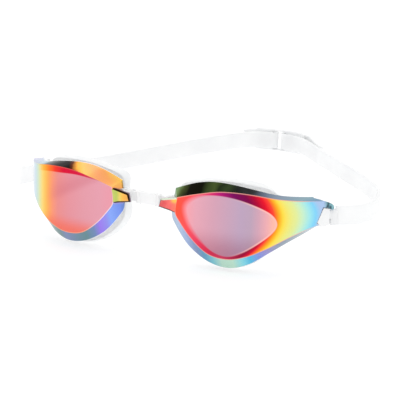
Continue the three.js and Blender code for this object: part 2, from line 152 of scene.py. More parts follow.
# Plan view of the strap from the strap clip round to the slot of the back clip.
BOW = {
    RIGHT: [(75.3, 36.1), (77.8, 37.8), (81.8, 40.9), (84.6, 44.9), (86.4, 51), (86.2, 62),
            (83, 74), (77.3, 84.5)],
    LEFT: [(75.3, 36.1), (78.2, 37.7), (84, 40.2), (90.5, 44), (94, 50), (94.6, 57), (91.5, 66),
           (85, 76), (77, 86.4)],
}
BACK_RUN = [
    (68, 97), (59, 107.2), (48, 119.7), (36, 133.4), (26, 145), (19.8, 152.2), (14.4, 157.6),
    (9.2, 160.4),
]
FREE_END = {
    RIGHT: [(9.6, 165.5), (16.2, 163.9), (22.2, 155.6), (27.6, 146.6), (31.8, 141.8)],
    LEFT: [(9.6, 165.5), (16.2, 163.9), (20.0, 159.6)],
}
DROOP = {RIGHT: 0, LEFT: LEFT_DROOP}
LOOP_X = SLOT_HALF + 0.3
LOOP_RADIUS = PLATE_THICK / 2 + 0.5 + STRAP_THICK / 2


def layout_shift():
    """Where the layout's zero lies in the row frame, in millimetres, from the nose bridge."""
    low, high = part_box("nose_bridge")
    return (low + high) / 2 / MM - Vector((0, BRIDGE.y, BRIDGE.z))


SHIFT = layout_shift()


def place(point, sign=1):
    """A point of the layout in metres in the row frame, mirrored where sign is -1."""
    return (Vector((sign * point[0], point[1], point[2])) + SHIFT) * MM


# ---- the wrap surface -------------------------------------------------------------------------


def wrap(x):
    return WRAP_DEPTH * (max(x, 0.0) / WRAP_REACH) ** WRAP_POWER


def on_wrap(x, z, depth):
    """The point at (x, z) in the front view, depth behind the wrap surface along its normal."""
    slope = WRAP_POWER * wrap(x) / max(x, 1.0)
    length = math.hypot(1, slope)
    return Vector((x - depth * slope / length, wrap(x) + depth / length, z))


TAIL = on_wrap(POST_X, 0, POST_DEPTH).xy       # the strap post's axis, in plan

# ---- outlines ---------------------------------------------------------------------------------


def cubic(p0, p1, p2, p3, w, power=0.0):
    """A Catmull-Rom curve between p1 and p2; power 0 is uniform and 0.5 centripetal."""
    before, span, after = ((b - a).length ** power for a, b in ((p0, p1), (p1, p2), (p2, p3)))
    start = ((p1 - p0) / before - (p2 - p0) / (before + span) + (p2 - p1) / span) * span
    end = ((p2 - p1) / span - (p3 - p1) / (span + after) + (p3 - p2) / after) * span
    bend = 3 * (p2 - p1) - 2 * start - end
    return p1 + start * w + bend * w**2 + (start + end - 2 * (p2 - p1)) * w**3


def open_curve(points, steps, power=0.0):
    """A smooth run through points, with `steps` steps for each span."""
    run = [Vector(p) for p in points]
    if power:
        run = [2 * run[0] - run[1], *run, 2 * run[-1] - run[-2]]
    else:
        run = [run[0], *run, run[-1]]
    curve = [
        cubic(*run[i : i + 4], k / steps, power)
        for i in range(len(run) - 3)
        for k in range(steps)
    ]
    return [*curve, run[-2]]


def closed_curve(points, steps, power=0.0):
    """A smooth closed outline through points."""
    loop = [Vector(p) for p in points]
    count = len(loop)
    return [
        cubic(*(loop[(i + k) % count] for k in (-1, 0, 1, 2)), w / steps, power)
        for i in range(count)
        for w in range(steps)
    ]


def eyepiece_outline(key, steps):
    """The face's edge or the rim, clockwise from the nose end's upper corner."""
    top = open_curve([s[key] for s in TOP], steps)
    bottom = open_curve([s[key] for s in BOTTOM], steps)
    tail = [top[-1].lerp(bottom[0], k / steps) for k in range(steps)]
    return [*top[:-1], *tail, *bottom[:-1]]


def rim_depths(steps):
    stations = [*TOP, *BOTTOM]
    pairs = zip(stations, stations[1:])
    return [a[DEPTH] + (b[DEPTH] - a[DEPTH]) * k / steps for a, b in pairs for k in range(steps)]


def inset(outline, distance):
    """A clockwise outline moved inwards."""
    moved = []
    for i, point in enumerate(outline):
        along = (outline[(i + 1) % len(outline)] - outline[i - 1]).normalized()
        moved.append(point + Vector((along.y, -along.x)) * distance)
    return moved


def mixed(first, second, share):
    return [a.lerp(b, share) for a, b in zip(first, second)]


def laid(outline, depths):
    """An outline laid behind the wrap surface, at one depth or at a depth for each point."""
    if isinstance(depths, (int, float)):
        depths = [depths] * len(outline)
    return [on_wrap(p.x, p.y, depth) for p, depth in zip(outline, depths)]


def rounded_box(width, height, radius, corner_steps=5, side_steps=10):
    """A box with rounded corners and points along its sides, round (0, 0)."""
    right, up = width / 2 - radius, height / 2 - radius
    corners = [(right, up, 0), (-right, up, 90), (-right, -up, 180), (right, -up, 270)]
    points = []
    for i, (x, y, turn) in enumerate(corners):
        for k in range(corner_steps + 1):
            angle = math.radians(turn + 90 * k / corner_steps)
            points.append(Vector((x + radius * math.cos(angle), y + radius * math.sin(angle))))
        next_x, next_y, next_turn = corners[(i + 1) % 4]
        angle = math.radians(next_turn)
        start = Vector((next_x + radius * math.cos(angle), next_y + radius * math.sin(angle)))
        points.extend(points[-1].lerp(start, k / side_steps) for k in range(1, side_steps))
    return points


# ---- meshes -----------------------------------------------------------------------------------


def new_object(name, vertices, faces, slots=None, materials=()):
    mesh = bpy.data.meshes.new(name)
    mesh.from_pydata([tuple(v) for v in vertices], [], faces)
    for material in materials:
        mesh.materials.append(material)
    if slots:
        mesh.polygons.foreach_set("material_index", slots)
    piece = bpy.data.objects.new(name, mesh)
    bpy.context.scene.collection.objects.link(piece)
    return piece


def face_outwards(mesh):
    work = bmesh.new()
    work.from_mesh(mesh)
    bmesh.ops.recalc_face_normals(work, faces=work.faces)
    work.to_mesh(mesh)
    work.free()


def ring_skin(name, rings, caps=None, slots=None, materials=()):
    """A closed skin over rings of equal length; slots holds a material slot for each band.

    With caps the first and last ring close on a point each; without, the last joins the first.
    """
    count = len(rings[0])
    vertices = [p for ring in rings for p in ring]
    bands = len(rings) - 1 if caps else len(rings)
    faces, face_slots = [], []
    for r in range(bands):
        a, b = r * count, (r + 1) % len(rings) * count
        for i in range(count):
            j = (i + 1) % count
            faces.append((a + i, a + j, b + j, b + i))
            face_slots.append(slots[r] if slots else 0)
    if caps:
        first, last = len(vertices), (len(rings) - 1) * count
        vertices += caps
        for i in range(count):
            j = (i + 1) % count
            faces += [(first, j, i), (first + 1, last + i, last + j)]
            face_slots += [slots[0] if slots else 0, slots[-1] if slots else 0]
    piece = new_object(name, vertices, faces, face_slots, materials)
    face_outwards(piece.data)
    return piece


def rounded_prism(name, outline, low, high, radius, steps=3):
    """A plan-view outline raised from low to high, with its sharp edges rounded."""
    count = len(outline)
    vertices = [(p[0], p[1], z) for z in (low, high) for p in outline]
    sides = [(i, (i + 1) % count, count + (i + 1) % count, count + i) for i in range(count)]
    piece = new_object(name, vertices, [*sides, range(count)[::-1], range(count, 2 * count)])
    work = bmesh.new()
    work.from_mesh(piece.data)
    bmesh.ops.recalc_face_normals(work, faces=work.faces)
    sharp = [e for e in work.edges if e.calc_face_angle() > math.radians(30)]
    bmesh.ops.bevel(work, geom=sharp, offset=radius, segments=steps, profile=0.5, affect="EDGES")
    work.to_mesh(piece.data)
    work.free()
    return piece


def circle(centre, radius, sides=40):
    turns = [2 * math.pi * k / sides for k in range(sides)]
    return [(centre[0] + radius * math.cos(t), centre[1] + radius * math.sin(t)) for t in turns]


def boolean(body, operation, *tools):
    """Joins or cuts a body with tools, which are used up."""
    for tool in tools:
        step = body.modifiers.new("boolean", "BOOLEAN")
        step.operation = operation
        step.solver = "MANIFOLD"
        step.object = tool
    depsgraph = bpy.context.evaluated_depsgraph_get()
    result = bpy.data.meshes.new_from_object(body.evaluated_get(depsgraph))
    body.modifiers.clear()
    body.data = result
    for tool in tools:
        bpy.data.objects.remove(tool)
    return body


def weld(mesh, gap):
    """Joins points closer than gap and dissolves the faces that this flattens."""
    work = bmesh.new()
    work.from_mesh(mesh)
    bmesh.ops.triangulate(work, faces=work.faces)
    bmesh.ops.remove_doubles(work, verts=work.verts, dist=gap)
    bmesh.ops.dissolve_degenerate(work, dist=gap, edges=work.edges)
    work.to_mesh(mesh)
    work.free()


def settle(piece, sign=1):
    """Moves a piece from the layout into the row frame, mirrored where sign is -1."""
    turn = Matrix.Translation(SHIFT * MM) @ Matrix.Diagonal((sign * MM, MM, MM, 1))
    piece.data.transform(turn)
    if sign < 0:
        piece.data.flip_normals()


def shade(piece, sharp_degrees=30):
    piece.data.shade_smooth()
    piece.data.set_sharp_from_angle(angle=math.radians(sharp_degrees))


def twin(piece, name):
    other = bpy.data.objects.new(name, piece.data.copy())
    bpy.context.scene.collection.objects.link(other)
    return other


# ---- materials --------------------------------------------------------------------------------


def linear(colour):
    """A colour given as 0-255 display values, as linear light."""
    shares = (c / 255 for c in colour)
    light = [s / 12.92 if s <= 0.04045 else ((s + 0.055) / 1.055) ** 2.4 for s in shares]
    return (*light, 1)


def new_material(name, **inputs):
    """A Principled material; inputs are socket names with _ for a space."""
    material = bpy.data.materials.new(name)
    material.use_nodes = True
    shader = material.node_tree.nodes["Principled BSDF"]
    for key, value in inputs.items():
        shader.inputs[key.replace("_", " ")].default_value = value
    return material, material.node_tree, shader


def feed(tree, socket, value):
    """Links a socket or sets a plain value."""
    if isinstance(value, bpy.types.NodeSocket):
        tree.links.new(value, socket)
    else:
        socket.default_value = value


def measure(tree, name):
    """A value stored on the mesh."""
    node = tree.nodes.new("ShaderNodeAttribute")
    node.attribute_name = name
    return node.outputs["Fac"]


def sums(tree, operation, a, b=0.0, c=0.0):
    node = tree.nodes.new("ShaderNodeMath")
    node.operation = operation
    for socket, value in zip(node.inputs, (a, b, c)):
        feed(tree, socket, value)
    return node.outputs[0]


def rise(tree, value, start, end, low=0.0, high=1.0):
    """Low before start, high after end, smooth between them."""
    node = tree.nodes.new("ShaderNodeMapRange")
    node.interpolation_type = "SMOOTHSTEP"
    for key, setting in zip(
        ("Value", "From Min", "From Max", "To Min", "To Max"), (value, start, end, low, high)
    ):
        feed(tree, node.inputs[key], setting)
    return node.outputs[0]


def colours_along(tree, value, stops):
    """Colours blended along a value; stops are (value, 0-255 colour)."""
    first, last = stops[0][0], stops[-1][0]
    scaled = tree.nodes.new("ShaderNodeMapRange")
    feed(tree, scaled.inputs["Value"], value)
    scaled.inputs["From Min"].default_value = first
    scaled.inputs["From Max"].default_value = last
    node = tree.nodes.new("ShaderNodeValToRGB")
    elements = node.color_ramp.elements
    elements[1].position = 1
    for at, _ in stops[1:-1]:
        elements.new((at - first) / (last - first))
    for element, (_, colour) in zip(elements, stops):
        element.color = linear(colour)
    tree.links.new(scaled.outputs[0], node.inputs[0])
    return node.outputs["Color"]


def blend_colours(tree, share, first, second, mode="MIX"):
    node = tree.nodes.new("ShaderNodeMix")
    node.data_type = "RGBA"
    node.blend_type = mode
    feed(tree, node.inputs["Factor"], share)
    feed(tree, node.inputs["A"], first if not isinstance(first, tuple) else linear(first))
    feed(tree, node.inputs["B"], second if not isinstance(second, tuple) else linear(second))
    return node.outputs["Result"]


def noise(tree, scale, detail=2.0, stretch=(1, 1, 1)):
    """Noise fixed to the object; scale is in waves for each metre."""
    where = tree.nodes.new("ShaderNodeTexCoord")
    mapping = tree.nodes.new("ShaderNodeMapping")
    mapping.inputs["Scale"].default_value = stretch
    tree.links.new(where.outputs["Object"], mapping.inputs["Vector"])
    node = tree.nodes.new("ShaderNodeTexNoise")
    node.inputs["Scale"].default_value = scale
    node.inputs["Detail"].default_value = detail
    tree.links.new(mapping.outputs["Vector"], node.inputs["Vector"])
    return node.outputs["Fac"]


def roughen(tree, shader, height, distance, strength=1.0):
    bump = tree.nodes.new("ShaderNodeBump")
    bump.inputs["Distance"].default_value = distance
    bump.inputs["Strength"].default_value = strength
    tree.links.new(height, bump.inputs["Height"])
    tree.links.new(bump.outputs["Normal"], shader.inputs["Normal"])


# ---- the mirror coating and its painted reflections ---------------------------------------------

# The colour tables below follow colours sampled from the photograph along the lenses. They hold the
# coating's interference colours, painted as they look from one direction, mixed with painted
# reflections of the studio: near black where the lens reflects dark, pale where it reflects light.

# Across the optical zone, in mm from the nose.
ZONE_COLOURS = [
    (18, (252, 140, 146)), (21, (243, 158, 166)), (25, (227, 160, 173)), (32, (211, 155, 172)),
    (40, (193, 156, 178)), (45, (182, 157, 183)), (49, (183, 157, 178)), (52, (206, 158, 174)),
    (55, (234, 168, 171)), (58, (252, 184, 160)),
]
# The band between the optical zone and the lens's edge: over it and under it, then the temple.
TEMPLE_COLOURS = [
    (57.4, (250, 66, 50)), (58.4, (250, 132, 36)), (59.4, (254, 176, 38)), (60.6, (250, 216, 72)),
    (62.6, (234, 228, 120)), (64.8, (220, 231, 152)), (66.6, (198, 233, 194)),
    (68.6, (160, 226, 228)), (70.4, (128, 206, 242)), (71.8, (168, 194, 230)),
]
OVER_COLOURS = [
    (16, (255, 86, 62)), (26, (247, 74, 88)), (33, (228, 48, 104)), (39, (178, 20, 112)),
    (45, (116, 4, 88)), (50, (122, 0, 68)), (53, (176, 0, 48)), (55.6, (228, 18, 42)),
    *TEMPLE_COLOURS,
]
UNDER_COLOURS = [
    (16, (255, 88, 76)), (22, (246, 82, 86)), (28, (236, 70, 96)), (35, (222, 54, 84)),
    (42, (200, 46, 78)), (48, (196, 58, 92)), (52, (176, 34, 74)), (54.6, (146, 12, 54)),
    (56.4, (206, 10, 48)),
    *TEMPLE_COLOURS,
]
LEFT_COLOURS = [
    (14, (232, 152, 166)), (22, (224, 156, 170)), (30, (222, 152, 164)), (38, (224, 145, 154)),
    (44, (228, 140, 138)), (47.4, (242, 148, 116)), (50, (250, 164, 88)), (52.4, (252, 188, 82)),
    (54.6, (244, 206, 104)), (56.6, (224, 216, 142)), (58.6, (200, 217, 182)),
    (60.6, (182, 210, 208)), (63, (176, 201, 215)), (66, (188, 205, 217)), (71, (196, 206, 222)),
    (76, (200, 202, 222)),
]
LEFT_CRESCENT = [
    (16, (236, 110, 116)), (26, (206, 40, 76)), (34, (212, 20, 62)), (41, (214, 14, 52)),
    (46, (238, 56, 38)), (50, (252, 120, 24)), (54, (252, 178, 40)), (58, (226, 208, 120)),
]
# Painted highlight along the face's edge, next to the bevel.
EDGE_HIGHLIGHT_COLOURS = {RIGHT: (250, 176, 160), LEFT: (250, 186, 146)}
# Painted dark reflection on the hook's tip, from near black to teal.
HOOK_REFLECTION_COLOURS = [(0.35, (18, 30, 34)), (0.5, (60, 112, 116)), (0.65, (126, 176, 180))]


def mirror_finish(name, shine):
    return new_material(
        name, Roughness=0.14, Metallic=0.85, Specular_IOR_Level=shine, Coat_Weight=shine,
        Coat_Roughness=0.04,
    )


def right_face():
    # The right face: the coating's colours with painted reflections.
    material, tree, shader = mirror_finish("coating_reflections_right", 0.1)
    across, height = measure(tree, "across"), measure(tree, "height")
    oval, edge = measure(tree, "oval"), measure(tree, "edge")
    level = sums(tree, "SUBTRACT", height, 22.0)
    bulge = sums(tree, "MULTIPLY", sums(tree, "MULTIPLY", level, level), 0.035)
    slanted = sums(tree, "SUBTRACT", across, sums(tree, "MULTIPLY", level, 0.158))
    slanted = sums(tree, "ADD", slanted, bulge)
    over = colours_along(tree, slanted, OVER_COLOURS)
    under = colours_along(tree, slanted, UNDER_COLOURS)
    band = blend_colours(tree, rise(tree, height, 24, 18), over, under)
    zone = colours_along(tree, across, ZONE_COLOURS)
    # Painted darker and pinker towards the bottom of the optical zone.
    lower = rise(tree, height, 20, 8, 0.0, 0.55)
    zone = blend_colours(tree, lower, zone, (196, 118, 142), "MULTIPLY")
    haze = sums(tree, "MULTIPLY", noise(tree, 60, 3, (1, 1, 0.3)), 0.22)
    zone = blend_colours(tree, haze, zone, (214, 186, 208))
    softness = rise(tree, across, 18, 34, 1.5, 0.22)
    fade = sums(tree, "DIVIDE", oval, sums(tree, "ADD", softness, softness))
    inside = sums(tree, "SUBTRACT", 0.5, fade)
    inside = sums(tree, "MINIMUM", sums(tree, "MAXIMUM", inside, 0.0), 1.0)
    painted = blend_colours(tree, inside, band, zone)
    # Painted highlight: a pale line along the optical zone's edge, on its temple side.
    line = sums(tree, "MULTIPLY", rise(tree, oval, -0.8, -0.2), rise(tree, oval, 0.3, 0.0))
    line = sums(tree, "MULTIPLY", line, rise(tree, across, 38, 55, 0.0, 0.8))
    painted = blend_colours(tree, line, painted, (255, 190, 182))
    # The hook's tip is painted dark teal and black, a painted reflection.
    hook = sums(tree, "MULTIPLY", rise(tree, across, 72.4, 73.6), rise(tree, height, 25, 26))
    teal = colours_along(tree, noise(tree, 420, 1), HOOK_REFLECTION_COLOURS)
    painted = blend_colours(tree, sums(tree, "MULTIPLY", hook, 0.9), painted, teal)
    # Painted highlight: a pale line along the face's edge, fading out at the temple.
    edge_highlight = sums(tree, "MULTIPLY", rise(tree, edge, 0.5, 0.1, 0.0, 0.85), rise(tree, across, 72, 66))
    painted = blend_colours(tree, edge_highlight, painted, EDGE_HIGHLIGHT_COLOURS[RIGHT])
    tree.links.new(painted, shader.inputs["Base Color"])
    return material


def left_face():
    # The left face: the coating's colours with painted reflections: a salmon patch low down, a faint
    # darker streak and a red-to-yellow crescent along the top edge.
    material, tree, shader = mirror_finish("coating_reflections_left", 0.1)
    across, height = measure(tree, "across"), measure(tree, "height")
    edge = measure(tree, "edge")
    painted = colours_along(tree, across, LEFT_COLOURS)
    low = rise(tree, height, 14.5, 6.8, 0.0, 0.85)
    low = sums(tree, "MULTIPLY", low, rise(tree, across, 56, 48))
    low = sums(tree, "MULTIPLY", low, rise(tree, across, 16, 30, 0.25, 1.0))
    painted = blend_colours(tree, low, painted, (240, 112, 92))
    sweep = sums(tree, "ADD", sums(tree, "MULTIPLY", across, 0.52), height)
    streak = sums(tree, "MULTIPLY", rise(tree, sweep, 42, 46.4), rise(tree, sweep, 54, 46.8))
    streak = sums(tree, "MULTIPLY", streak, rise(tree, across, 56, 40))
    streak = sums(tree, "MULTIPLY", streak, 0.3)
    painted = blend_colours(tree, streak, painted, (198, 96, 112))
    width = rise(tree, across, 17, 46, 0.0, 3.0)
    top = sums(tree, "MULTIPLY", rise(tree, height, 23, 27), rise(tree, across, 60, 54))
    crescent = rise(tree, sums(tree, "SUBTRACT", width, edge), -0.1, 0.4)
    crescent = sums(tree, "MULTIPLY", crescent, top)
    painted = blend_colours(tree, crescent, painted, colours_along(tree, across, LEFT_CRESCENT))
    # Painted highlight: a pale line along the face's edge, stronger low down and whiter towards the
    # nose.
    edge_highlight = rise(tree, edge, 0.5, 0.1, 0.0, 0.8)
    edge_highlight = sums(tree, "MULTIPLY", edge_highlight, rise(tree, height, 30, 20, 0.25, 1.0))
    pale = rise(tree, across, 30, 22)
    lined = blend_colours(tree, pale, EDGE_HIGHLIGHT_COLOURS[LEFT], (252, 240, 246))
    painted = blend_colours(tree, edge_highlight, painted, lined)
    tree.links.new(painted, shader.inputs["Base Color"])
    return material


# The bevel's colours are painted reflections tinted by the coating: near black where it reflects dark,
# pale blue and lavender where it reflects light.
BEVEL_OVER = {
    RIGHT: [
        (10, (112, 150, 128)), (15, (116, 142, 92)), (17.5, (64, 74, 34)), (19.5, (14, 12, 4)),
        (26, (12, 12, 4)), (29, (44, 56, 26)), (32, (58, 72, 34)), (35, (26, 36, 18)),
        (38, (40, 54, 26)), (42, (10, 16, 10)), (48, (16, 20, 24)), (52, (84, 98, 122)),
        (58, (122, 142, 164)),
        (66, (122, 162, 176)), (70, (84, 140, 176)), (74, (118, 150, 182)), (77, (40, 84, 88)),
    ],
    LEFT: [
        (11, (255, 212, 110)), (15, (254, 204, 96)), (19, (252, 172, 100)), (24, (252, 168, 112)),
        (29, (254, 184, 104)), (32, (250, 172, 74)), (34, (90, 34, 6)), (36, (14, 4, 2)),
        (46, (10, 4, 2)), (51, (26, 40, 40)), (54, (120, 160, 176)), (58, (172, 200, 216)),
        (66, (178, 190, 218)), (76, (188, 186, 220)),
    ],
}
BEVEL_UNDER = {
    RIGHT: [
        (10, (148, 168, 196)), (16, (168, 188, 216)), (20, (156, 176, 214)), (25, (130, 148, 186)),
        (29, (98, 156, 190)), (33, (128, 196, 208)), (37, (186, 218, 202)), (42, (188, 222, 204)),
        (46, (140, 216, 228)), (49, (92, 190, 228)), (52, (136, 152, 226)), (55, (154, 148, 204)),
        (59, (132, 146, 166)), (66, (134, 152, 158)), (70.4, (150, 176, 204)), (71.6, (34, 36, 44)),
        (77, (24, 26, 34)),
    ],
    LEFT: [
        (10, (96, 132, 140)), (13, (122, 150, 236)), (17, (140, 172, 248)), (19, (152, 150, 238)),
        (22, (160, 130, 240)), (25, (122, 146, 190)), (29, (112, 148, 154)), (34, (122, 148, 168)),
        (40, (134, 146, 186)), (44, (112, 142, 142)), (50, (122, 144, 146)), (56, (160, 184, 198)),
        (64, (170, 192, 210)), (76, (182, 188, 216)),
    ],
}


def bevel_coating_and_reflections(side):
    material, tree, shader = mirror_finish(f"bevel_{side}", 0.0)
    across, height = measure(tree, "across"), measure(tree, "height")
    ripple = sums(tree, "MULTIPLY", sums(tree, "SUBTRACT", noise(tree, 110, 2), 0.5), 7.0)
    level = {RIGHT: 0.0, LEFT: -1.1}[side]
    leaning = sums(tree, "MULTIPLY", sums(tree, "SUBTRACT", height, 34.0), level)
    along = sums(tree, "ADD", sums(tree, "ADD", across, leaning), ripple)
    over = colours_along(tree, along, BEVEL_OVER[side])
    under = colours_along(tree, across, BEVEL_UNDER[side])
    painted = blend_colours(tree, rise(tree, height, 25, 22), over, under)
    tree.links.new(painted, shader.inputs["Base Color"])
    return material


# The lug's colours are the coating's tint with painted reflections.
LUG_COLOURS = {
    RIGHT: [(7, (206, 70, 84)), (10, (226, 76, 86)), (13, (250, 88, 96)), (16, (255, 110, 70))],
    LEFT: [(7, (226, 150, 60)), (10, (246, 178, 62)), (11.6, (232, 200, 84)),
           (13.4, (176, 196, 84)), (15.6, (190, 200, 96))],
}


def lug_coating_and_reflections(side):
    material, tree, shader = mirror_finish(f"lug_{side}", 0.05)
    across, height = measure(tree, "across"), measure(tree, "height")
    painted = colours_along(tree, across, LUG_COLOURS[side])
    if side == RIGHT:
        # Painted reflection: an orange patch at the right lug's top corner.
        glow = sums(tree, "MULTIPLY", rise(tree, height, 26.6, 28.6), rise(tree, across, 12, 14.5))
        painted = blend_colours(tree, glow, painted, (255, 186, 60))
    speckle = sums(tree, "MULTIPLY", noise(tree, 500, 2), 0.18)
    painted = blend_colours(tree, speckle, painted, (255, 236, 200))
    tree.links.new(painted, shader.inputs["Base Color"])
    return material


def facet_reflections(side):
    """The lug's narrow facets: painted nearly black as dark reflections, with a painted highlight line
    along the top on the right.
    """
    material, tree, shader = mirror_finish(f"facet_{side}", 0.0)
    height = measure(tree, "height")
    dark = colours_along(tree, noise(tree, 300, 2), [(0.3, (10, 6, 4)), (0.7, (46, 34, 22))])
    pale = {RIGHT: (226, 236, 216), LEFT: (40, 26, 12)}[side]
    painted = blend_colours(tree, rise(tree, height, 27.6, 28.2), dark, pale)
    tree.links.new(painted, shader.inputs["Base Color"])
    return material


def inner_lens():
    """The lens seen from the eye's side: dark rose, clear and glossy."""
    material, tree, shader = new_material(
        "lens_inside", Roughness=0.1, Specular_IOR_Level=0.6, Coat_Weight=0.4, Coat_Roughness=0.04
    )
    tint = colours_along(
        tree, measure(tree, "across"),
        [(12, (120, 84, 104)), (40, (104, 78, 112)), (58, (126, 96, 92)), (76, (116, 126, 132))],
    )
    cloud = sums(tree, "MULTIPLY", noise(tree, 45, 3), 0.3)
    tree.links.new(blend_colours(tree, cloud, tint, (150, 128, 140)), shader.inputs["Base Color"])
    return material


def clear_rim():
    """The uncoated back edge of the rim."""
    material, tree, shader = new_material("rim_clear", Roughness=0.2, Specular_IOR_Level=0.4)
    tone = colours_along(tree, noise(tree, 120, 2), [(0.3, (226, 229, 231)), (0.7, (244, 245, 246))])
    tree.links.new(tone, shader.inputs["Base Color"])
    return material


# ---- silicone and hard plastic --------------------------------------------------------------------


def silicone(name, light, dark, density=0.25):
    """Milky silicone: soft shine, light that spreads inside it, and a faint moulded grain."""
    material, tree, shader = new_material(
        name, Roughness=0.42, Subsurface_Weight=density, Subsurface_Scale=0.006,
        Subsurface_Radius=(1.0, 1.0, 1.0), Specular_IOR_Level=0.35,
    )
    cloud = noise(tree, 70, 3)
    tree.links.new(colours_along(tree, cloud, [(0.3, dark), (0.7, light)]), shader.inputs["Base Color"])
    tree.links.new(rise(tree, noise(tree, 420, 2), 0.3, 0.7, 0.36, 0.5), shader.inputs["Roughness"])
    roughen(tree, shader, noise(tree, 1600, 3), 0.00004)
    return material


def hard_plastic(name, light, dark, roughness):
    material, tree, shader = new_material(name, Specular_IOR_Level=0.45)
    cloud = noise(tree, 90, 2)
    tree.links.new(colours_along(tree, cloud, [(0.3, dark), (0.7, light)]), shader.inputs["Base Color"])
    wear = rise(tree, noise(tree, 700, 3), 0.3, 0.7, roughness - 0.05, roughness + 0.08)
    tree.links.new(wear, shader.inputs["Roughness"])
    roughen(tree, shader, noise(tree, 2600, 2), 0.00002)
    return material


# ---- lens -----------------------------------------------------------------------------------------

FACE_SLOT, BEVEL_SLOT, LUG_SLOT, FACET_SLOT, INSIDE_SLOT, RIM_SLOT = range(6)
STEPS = 10                  # points for each span of the outlines
ZONE_RINGS = 34             # rings over the face, from the middle out
WELD_GAP = 0.003


def wrapped_prism(name, outline, low, high, materials):
    """A front-view outline carried through the wrap surface, square to it."""
    count = len(outline)
    vertices = [(p[0], depth, p[1]) for depth in (low, high) for p in outline]
    sides = [(i, (i + 1) % count, count + (i + 1) % count, count + i) for i in range(count)]
    faces = [*sides, range(count)[::-1], range(count, 2 * count)]
    prism = new_object(name, vertices, faces, [BEVEL_SLOT] * len(faces), materials)
    work = bmesh.new()
    work.from_mesh(prism.data)
    bmesh.ops.triangulate(work, faces=work.faces)
    bmesh.ops.recalc_face_normals(work, faces=work.faces)
    for vertex in work.verts:
        vertex.co = on_wrap(vertex.co.x, vertex.co.z, vertex.co.y)
    work.to_mesh(prism.data)
    work.free()
    return prism


def lens_shell(materials):
    """Face, a hairline chamfer, the bevel down to the rim, the rim's edge and the inner side."""
    face, rim = eyepiece_outline(FACE, STEPS), eyepiece_outline(RIM, STEPS)
    depths = rim_depths(STEPS)
    crisp = inset(face, 0.3)
    middle = [EYE_CENTRE] * len(face)
    rings, slots = [], []
    for r in range(1, ZONE_RINGS + 1):
        rings.append(laid(mixed(middle, crisp, r / ZONE_RINGS), 0.0))
        slots.append(FACE_SLOT)
    for share in (0, 0.2, 0.4, 0.6, 0.8, 0.95):
        sunk = [0.1 + (depth - 0.1) * share for depth in depths]
        rings.append(laid(mixed(face, rim, share), sunk))
        slots.append(BEVEL_SLOT)
    slots[-1] = RIM_SLOT
    for distance, back, slot in ((0.05, 0.0, RIM_SLOT), (RIM_WALL - 0.2, 0.05, RIM_SLOT),
                                 (RIM_WALL, -0.1, INSIDE_SLOT)):
        rings.append(laid(inset(rim, distance), [depth + back for depth in depths]))
        slots.append(slot)
    inner = inset(face, 1)
    for r in range(ZONE_RINGS // 2, 0, -1):
        rings.append(laid(mixed(middle, inner, 2 * r / ZONE_RINGS), LENS_WALL))
        slots.append(INSIDE_SLOT)
    caps = [on_wrap(*EYE_CENTRE, depth) for depth in (0, LENS_WALL)]
    return ring_skin("lens", rings, caps, slots, materials)


def lens_lug(materials):
    """The lug at the nose, with a sloped facet round its front."""
    outline = [Vector(p) for p in LUG]
    small = inset(outline, 0.75)
    rings = [
        [Vector((p.x, 0.05, p.y)) for p in small],
        [Vector((p.x, 0.75, p.y)) for p in outline],
        [Vector((p.x, LUG_DEPTH, p.y)) for p in outline],
    ]
    caps = [Vector((13.5, 0.05, 26.4)), Vector((13.5, LUG_DEPTH, 26.4))]
    lug = ring_skin("lug", rings, caps, [FACET_SLOT, INSIDE_SLOT], materials)
    for polygon in lug.data.polygons:
        if abs(polygon.center.y - 0.05) < 0.01:
            polygon.material_index = LUG_SLOT
    return lug


def tail_notch(materials):
    hook = open_curve(HOOK, 6)
    root = [Vector((70.9, NOTCH_LOW - 0.2))]
    outside = [Vector(p) for p in ((84, 40), (84, 12), (71.9, 12), (71.6, NOTCH_LOW - 0.9))]
    return wrapped_prism("notch", [*root, *hook, *outside], -3, 9, materials)


def bridge_window(materials):
    """The opening behind the lug for the frame's bridge clip."""
    half = BRIDGE_HEIGHT / 2 + 0.35
    low, high = BRIDGE.z - half, BRIDGE.z + half
    corners = [(8, low), (17, low), (17, high), (8, high)]
    rings = [[Vector((x, y, z)) for x, z in corners] for y in (LENS_WALL, 9)]
    caps = [Vector((12.5, y, BRIDGE.z)) for y in (LENS_WALL, 9)]
    return ring_skin("window", rings, caps, [INSIDE_SLOT], materials)


def distances(points, outline):
    """The distance of each (x, z) from an outline, negative inside it."""
    starts = np.array([tuple(p) for p in outline])
    ends = np.roll(starts, -1, axis=0)
    nearest = np.full(len(points), 1e9)
    inside = np.zeros(len(points), bool)
    for (ax, az), (bx, bz) in zip(starts, ends):
        along = np.array((bx - ax, bz - az))
        away = points - (ax, az)
        share = np.clip(away @ along / (along @ along), 0, 1)
        gaps = np.hypot(*(away - share[:, None] * along).T)
        nearest = np.minimum(nearest, gaps)
        crosses = (az > points[:, 1]) != (bz > points[:, 1])
        if bz != az:
            inside ^= crosses & (points[:, 0] < along[0] * (points[:, 1] - az) / along[1] + ax)
    return np.where(inside, -nearest, nearest)


def store(mesh, name, values):
    mesh.attributes.new(name, "FLOAT", "POINT").data.foreach_set("value", values)


def store_measures(mesh):
    """Keeps on the mesh what the coating's painted colours and reflections go by, all in millimetres.
    """
    count = len(mesh.vertices)
    where = np.zeros(count * 3)
    mesh.vertices.foreach_get("co", where)
    spots = where.reshape(-1, 3)[:, (0, 2)]
    store(mesh, "across", spots[:, 0].copy())
    store(mesh, "height", spots[:, 1].copy())
    store(mesh, "oval", distances(spots, closed_curve(OVAL, 8)))
    store(mesh, "edge", -distances(spots, eyepiece_outline(FACE, STEPS)))


